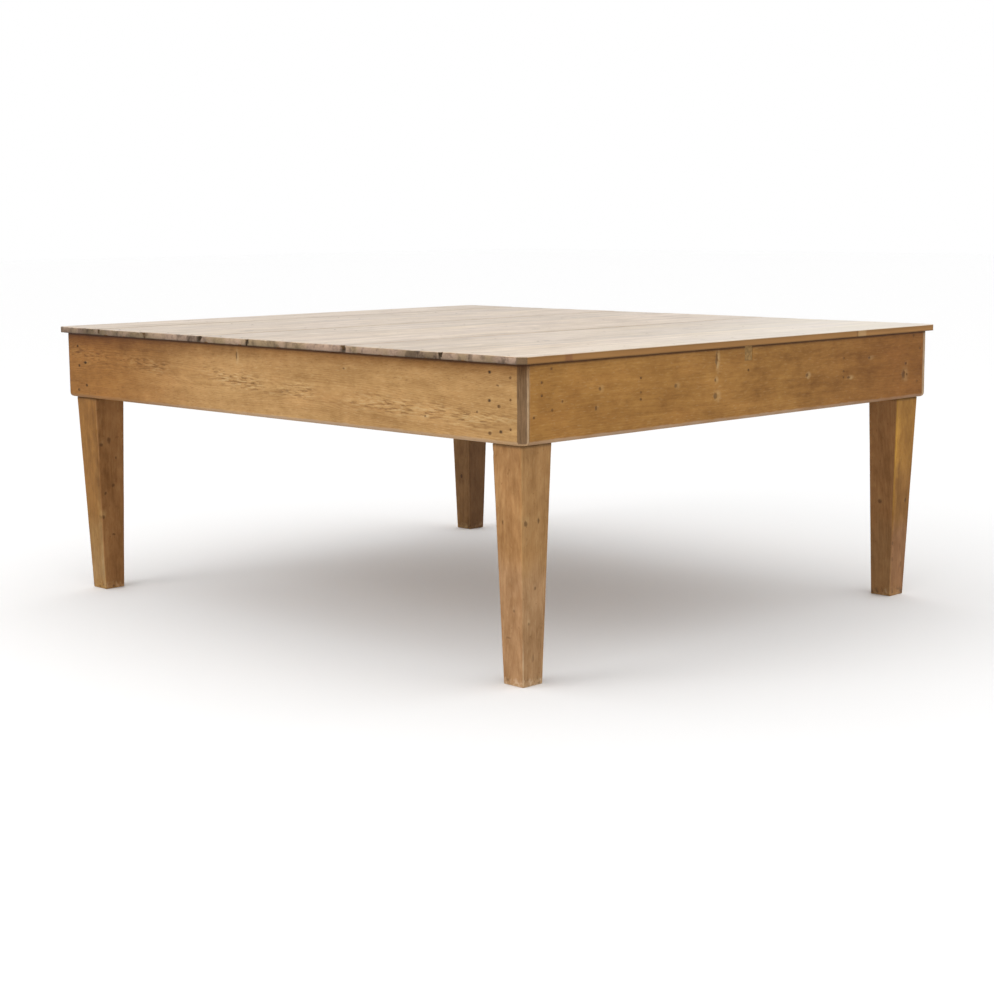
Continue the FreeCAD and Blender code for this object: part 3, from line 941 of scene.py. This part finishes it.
legLook = {
    "cuts": (16, 16, 170), "headOverlap": 0.004,
    "footBand": (0.001, 0.01), "headFrom": 0.01,     # heights at which a foot and a head are measured
    "timber": {"Arris": 0.0022, "Arris Wander": 0.0030, "Chip Depth": 0.0045, "Chip Pitch": 24.0,
               "Hollow": 0.0006, "Crowding": (1.7, 1.7, 1.15)},
    "pine": {"early": (0.372, 0.202, 0.084), "late": (0.254, 0.125, 0.046), "warm": (0.336, 0.165, 0.060),
             "worn": (0.47, 0.29, 0.14), "ring": 0.0040, "contrast": 0.45, "wear": 0.6, "wearWidth": 0.0060,
             "roughness": 0.52, "flecks": 0.5, "specks": 0.3, "vigour": 1.25, "clouds": 1.4},
    "chipped": (0.62, 0.45, 0.28), "footGrime": (0.095, 0.055, 0.030),
    # inner: painted shade on the inner faces under the table that look along x and y, set against the leg's
    # tint; outer: painted shade on the outer face that looks along x
    # footRub: how pale the arrises are at the foot
    # washes: bands of tint by height (faces that look along this axis, from and to this height, tint)
    # the pale band along the arris between front and right face, partly worn and partly a painted highlight on
    # its rounding (face, width, from and to this height, tint)
    "front_left": {
        "tint": (0.69, 0.58, 0.31), "inner": ((1.15, 1.18, 1.80), (0.80, 0.80, 0.80)),
        "outer": (1.0, 1.0, 1.0), "footRub": 0.40, "rub": ("y", 0.030, 0.0, 0.38, (1.10, 1.20, 1.45)),
        "washes": (("y", 0.00, 0.21, (1.10, 1.27, 1.72)), ("y", 0.00, 0.09, (1.05, 1.12, 1.32)),
                   ("x", 0.30, 0.60, (1.05, 1.07, 1.10))),
        "marks": {"sideDents": ((0.159, -0.007, 0.011, 0.008, 0.05), (0.148, -0.033, 0.009, 0.008, 0.1),
                                (0.105, 0.016, 0.005, 0.004, 0.05), (0.024, 0.005, 0.008, 0.006, 0.05),
                                (0.002, -0.022, 0.005, 0.005, 0.05), (-0.068, -0.032, 0.009, 0.007, 0.3),
                                (-0.124, 0.003, 0.004, 0.008, 0.05))}},
    "front_right": {
        "tint": (0.97, 0.96, 0.95), "inner": ((0.72, 0.72, 0.72), (0.72, 0.72, 0.72)),
        "outer": (0.92, 0.96, 0.97), "footRub": 0.65, "rub": ("y", 0.012, 0.30, 0.57, (1.10, 1.11, 1.10)),
        "washes": (("y", 0.00, 0.30, (1.06, 1.08, 1.19)), ("y", 0.30, 0.60, (1.01, 0.97, 0.87)),
                   ("x", 0.00, 0.24, (1.07, 1.09, 1.20)), ("x", 0.28, 0.60, (0.98, 0.94, 0.83))),
        "marks": {"dents": ((0.102, -0.022, 0.006, 0.003, 0.1), (-0.105, 0.006, 0.005, 0.004, 0.1),
                            (-0.172, -0.015, 0.003, 0.010, 0.1)),
                  "sideDents": ((0.104, -0.032, 0.009, 0.008, 0.1), (0.107, 0.010, 0.008, 0.004, 0.1),
                                (-0.052, 0.004, 0.005, 0.004, 0.1), (-0.135, -0.015, 0.005, 0.004, 0.3),
                                (-0.217, 0.003, 0.012, 0.005, 0.0))}},
    "back_left": {
        "tint": (0.92, 0.90, 0.86), "inner": ((0.458, 0.420, 0.400), (0.532, 0.503, 0.405)),
        "outer": (1.0, 1.0, 1.0), "footRub": 0.0, "rub": None,
        "washes": (("y", 0.00, 0.60, (1.10, 1.11, 1.24)),),
        "marks": {"knots": ((-0.1, 0.0, 0.006),)}},
    "back_right": {
        "tint": (0.85, 0.76, 0.40), "inner": ((0.80, 0.80, 0.80), (0.88, 0.87, 1.43)),
        "outer": (1.0, 1.0, 1.0), "footRub": 0.15, "rub": ("x", 0.028, 0.24, 0.50, (1.32, 1.36, 1.22)),
        "washes": (("y", 0.00, 0.20, (0.83, 0.88, 0.92)), ("x", 0.00, 0.20, (0.86, 0.86, 1.60)),
                   ("x", 0.20, 0.37, (0.72, 0.68, 0.68)), ("x", 0.40, 0.60, (1.07, 1.07, 0.95))),
        "marks": {"dents": ((-0.013, -0.008, 0.007, 0.009, 0.1),),
                  "sideDents": ((-0.011, 0.016, 0.008, 0.006, 0.05), (-0.131, -0.036, 0.006, 0.005, 0.1),
                                (-0.177, -0.034, 0.009, 0.006, 0.05), (-0.197, 0.010, 0.012, 0.005, 0.0))}},
}
legCorners = ("front_left", "front_right", "back_left", "back_right")


def legExtra(corner, outwardX, outwardY):
    leg = legLook[corner]

    def onFace(edge, half):
        return edge.rise(half - 0.006, half - 0.001)

    def between(value, low, high, blur):
        return value.rise(low - blur, low + blur) * value.fall(high - blur, high + blur)

    def add(parts, colour, rough, height):
        half, figure, ruffle = parts.half, parts.figure, parts.ruffle
        edgeX, edgeY = parts.edges
        up = parts.along + half.z
        scuffed = (up + ruffle * 0.03).fall(0.005, 0.020) * (0.30 + parts.patchy * 0.5)
        colour = scuffed.colours(colour, legLook["pine"]["worn"])
        knocks = figure(70.0, 90.0, 63.0, 2.0)
        atFoot = (up + ruffle * 0.02).fall(0.006, 0.030)
        colour = (atFoot * knocks.rise(0.53, 0.62) * 0.55).colours(colour, legLook["chipped"])
        colour = (atFoot * knocks.fall(0.36, 0.45) * 0.60).colours(colour, legLook["footGrime"])
        colour = colour * leg["tint"]

        # painted shade: each face has a tint of its own, for the shade on the inner faces under the table and
        # on the outer face along x
        alongX = onFace(abs(edgeX), half.x)
        facing = {"x": alongX, "y": 1 - alongX}
        innerX = onFace(edgeX * -outwardX, half.x)
        innerY = onFace(edgeY * -outwardY, half.y) * facing["y"]
        outerX = onFace(edgeX * outwardX, half.x)
        for share, shade in zip((innerX, innerY, outerX), (*leg["inner"], leg["outer"])):
            colour = share.colours(colour, colour * shade)

        wavy = up + (figure(5.0, 16.0, 59.0) - 0.5) * 0.16
        for axis, low, high, tint in leg["washes"]:
            washed = between(wavy, low, high, 0.04) * facing[axis]
            colour = washed.colours(colour, colour * tint)
        # the pale band along the arris: partly wear, partly a painted highlight on the rounded arris
        if leg["rub"]:
            axis, width, low, high, tint = leg["rub"]
            fromArris = half.x - edgeX if axis == "y" else half.y + edgeY
            paled = (fromArris + ruffle * width).fall(width * 0.3, width) * facing[axis]
            paled = paled * between(wavy, low, high, 0.05)
            colour = paled.colours(colour, colour * tint)
        rubbed = (parts.fromEdge + ruffle * 0.005).fall(0.0008, 0.0048) * up.fall(0.05, 0.13)
        bare = tuple(c * t for c, t in zip(legLook["chipped"], leg["tint"]))
        colour = (rubbed * leg["footRub"]).colours(colour, bare)
        # painted shadow at the top of the leg, under the apron
        colour = colour * (1 - up.rise(half.z * 2 - 0.010, half.z * 2 - 0.002) * 0.5)
        return colour, rough, height
    return add


def makeLegs():
    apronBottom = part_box("apron_front")[0].z
    footFrom, footTo = legLook["footBand"]
    for seed, corner in enumerate(legCorners):
        node = "leg_" + corner
        low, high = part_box(node)
        points = np.array([v.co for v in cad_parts[node].data.vertices])
        foot = points[(points[:, 2] > footFrom) & (points[:, 2] < footTo)]
        head = points[points[:, 2] > apronBottom + legLook["headFrom"]]
        footLow, footHigh = Vector(foot.min(0)), Vector(foot.max(0))
        headLow, headHigh = Vector(head.min(0)), Vector(head.max(0))
        top = Vector((high.x, high.y, apronBottom))
        share = (footHigh.x - footLow.x) / (high.x - low.x)
        shift = (footLow + footHigh - low - high) / 2
        look = {**legLook["timber"], "Foot Share": share, "Foot Shift": (shift.x, shift.y, 0.0),
                "Seed": 90.0 + seed}
        piece = timber("leg" + corner.title().replace("_", ""), low, top, legLook["cuts"], look)
        block = boxPiece("head", (headLow.x, headLow.y, apronBottom - legLook["headOverlap"]), headHigh)
        sides = (1.0 if "right" in corner else -1.0, 1.0 if "back" in corner else -1.0)
        grain = {**legLook["pine"], **legLook[corner]["marks"], "seed": 100.0 + 7 * seed,
                 "pith": (0.03 - 0.02 * seed, 0.045)}
        material = pine(node + "Pine", grain, low, top, "zxy", (share, shift.x, shift.y),
                        legExtra(corner, *sides))
        finishTimber(piece, [(block, "UNION")], material, node)


makeLegs()


# Bearers: sawn and unfinished, the centre one's ends show in the side aprons

bearerLook = {
    "cuts": (160, 9, 18), "lugDepth": 0.038,
    "lugInset": (0.0006, 0.0003, 0.0004),            # in from the ends, the sides and the top
    "timber": {"Crowding": (1.15, 1.4, 1.4), "Arris": 0.0008, "Arris Wander": 0.0008, "Chip Depth": 0.002,
               "Hollow": 0.0008},
    "pine": {"early": (0.50, 0.36, 0.20), "late": (0.36, 0.235, 0.115), "warm": (0.44, 0.30, 0.16),
             "contrast": 0.5, "roughness": 0.7, "wear": 0.2, "ring": 0.0045, "pith": (0.02, 0.06)},
    "endTone": (0.29, 0.168, 0.060),
}


def bearerExtra(parts, colour, rough, height):
    ends = parts.inAlong.fall(0.001, 0.004)
    speck = parts.figure(40.0, 130.0, 61.0, 3.0, 0.7) * 1.7 + 0.12
    colour = ends.colours(colour, parts.pen.join(*bearerLook["endTone"]) * speck)
    return colour, rough, height


def makeBearers():
    b = bearerLook
    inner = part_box("apron_right")[0].x
    for seed, name in enumerate(("front", "centre", "back")):
        node = "bearer_" + name
        low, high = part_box(node)
        bodyLow, bodyHigh = Vector((-inner, low.y, low.z)), Vector((inner, high.y, high.z))
        look = {**b["timber"], "Seed": 130.0 + seed}
        piece = timber("bearer" + name.title(), bodyLow, bodyHigh, b["cuts"], look)
        tools = []
        if name == "centre":
            insetX, insetY, insetZ = b["lugInset"]
            lug = boxPiece("lug", (low.x + insetX, low.y + insetY, high.z - b["lugDepth"]),
                           (high.x - insetX, high.y - insetY, high.z - insetZ))
            tools.append((lug, "UNION"))
        grain = {**b["pine"], "seed": 150.0 + 5 * seed}
        material = pine(node + "Pine", grain, low, high, "xzy", extra=bearerExtra)
        finishTimber(piece, tools, material, node)


makeBearers()


# Nail heads: dark rusted iron, waxed over here and there

ironLook = {
    "iron": (0.030, 0.022, 0.016), "rust": (0.075, 0.034, 0.014), "wax": (0.19, 0.090, 0.028),
    "rightWax": 0.75, "waxBlur": 0.004, "gloss": 0.2, "bumpStrength": 0.4, "bumpDepth": 0.0003,
}


def rustedIron(name, waxShare):
    material = bpy.data.materials.new(name)
    material.use_nodes = True
    shader = material.node_tree.nodes["Principled BSDF"]
    spot = Wire(material.node_tree).node("ShaderNodeTexCoord", out="Object")
    spotX, spotY = spot.split()[:2]
    rust = spot.noise(900.0, 2.0, 3.0, 0.6)
    fromX, fromY = nailLook["waxedFrom"]
    blur = ironLook["waxBlur"]
    corner = spotX.rise(fromX, fromX + blur) * (spotY * -1.0).rise(fromY, fromY + blur)
    waxed = spot.noise(21.0, 5.0, 0.0).rise(0.42, 0.62).atLeast(corner)
    colour = rust.rise(0.42, 0.66).colours(ironLook["iron"], ironLook["rust"])
    colour = (waxed * (1 - waxShare) + waxShare).colours(colour, ironLook["wax"])
    bump = spot.node("ShaderNodeBump", sockets={
        "Strength": ironLook["bumpStrength"], "Distance": ironLook["bumpDepth"], "Height": rust})
    spot.feed(shader.inputs["Base Color"], colour)
    spot.feed(shader.inputs["Roughness"], 0.45 + rust * 0.35)
    spot.feed(shader.inputs["Metallic"], rust.fall(0.40, 0.62) * 0.2)
    spot.feed(shader.inputs["Normal"], bump)
    shader.inputs["Specular IOR Level"].default_value = ironLook["gloss"]
    return material


def makeNails():
    irons = {False: rustedIron("rustedIron", 0.0), True: rustedIron("waxedIron", ironLook["rightWax"])}
    for seed, node in enumerate(nailNodes):
        shape = nailShape(nails[node][0][2])
        words = node.split("_")
        name = words[0] + "".join(w.title() for w in words[1:])
        piece = onPoints(name, nails[node], shape, nailLook["wobble"], seed, irons["right" in node])
        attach(piece, "root")
        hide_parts(node)
        drop(shape)
        print("nails:", name, len(nails[node]))


makeNails()
drop(pit)


# Studio: pale floor, soft light, and a camera at the photograph's angle

studio = {
    "imageWidth": 994, "focalPixels": 1920.65, "sensor": 36.0,
    "cameraSpot": (3.9812, -3.8949, 1.0968), "yaw": 0.7931, "pitch": -0.1464, "roll": -0.0069,
    "floorSize": 80.0, "floorTone": (0.99, 0.99, 0.99), "floorRoughness": 0.9,
    "skyTone": (1.0, 1.0, 1.0), "sky": 1.0, "lightsAim": (0, 0, 0.5),
    "keySpot": (-1.5, -6.0, 4.2), "keySize": 4.0, "keyPower": 90.0,
    "fillSpot": (6.5, 1.5, 3.5), "fillSize": 4.0, "fillPower": 15.0,
}


def areaLight(name, spot, size, power):
    lamp = bpy.data.lights.new(name, "AREA")
    lamp.shape = "DISK"
    lamp.size = size
    lamp.energy = power
    light = bpy.data.objects.new(name, lamp)
    light.location = spot
    aim = Vector(studio["lightsAim"]) - Vector(spot)
    light.rotation_euler = aim.to_track_quat("-Z", "Y").to_euler()
    bpy.context.scene.collection.objects.link(light)


def setFloor():
    size = studio["floorSize"] / 2
    mesh = bpy.data.meshes.new("floor")
    corners = [(-size, -size, 0), (size, -size, 0), (size, size, 0), (-size, size, 0)]
    mesh.from_pydata(corners, [], [(0, 1, 2, 3)])
    floor = addPiece("floor", mesh)
    pale = bpy.data.materials.new("paleFloor")
    pale.use_nodes = True
    shader = pale.node_tree.nodes["Principled BSDF"]
    shader.inputs["Base Color"].default_value = (*studio["floorTone"], 1.0)
    shader.inputs["Roughness"].default_value = studio["floorRoughness"]
    mesh.materials.append(pale)


def setCamera():
    s = studio
    lens = bpy.data.cameras.new("camera")
    lens.sensor_fit = "HORIZONTAL"
    lens.sensor_width = s["sensor"]
    lens.lens = s["focalPixels"] * s["sensor"] / s["imageWidth"]
    camera = bpy.data.objects.new("camera", lens)
    aim = Matrix.Rotation(s["yaw"], 4, "Z") @ Matrix.Rotation(math.pi / 2 + s["pitch"], 4, "X")
    aim = aim @ Matrix.Rotation(s["roll"], 4, "Z")
    camera.matrix_world = Matrix.Translation(s["cameraSpot"]) @ aim
    bpy.context.scene.collection.objects.link(camera)
    bpy.context.scene.camera = camera


def setStudio():
    s = studio
    setFloor()
    world = bpy.data.worlds.new("studioSky")
    world.use_nodes = True
    sky = world.node_tree.nodes["Background"]
    sky.inputs["Color"].default_value = (*s["skyTone"], 1.0)
    sky.inputs["Strength"].default_value = s["sky"]
    bpy.context.scene.world = world
    areaLight("keyLight", s["keySpot"], s["keySize"], s["keyPower"])
    areaLight("fillLight", s["fillSpot"], s["fillSize"], s["fillPower"])
    setCamera()
    bpy.context.scene.view_settings.view_transform = "Standard"


setStudio()
print("studio set")
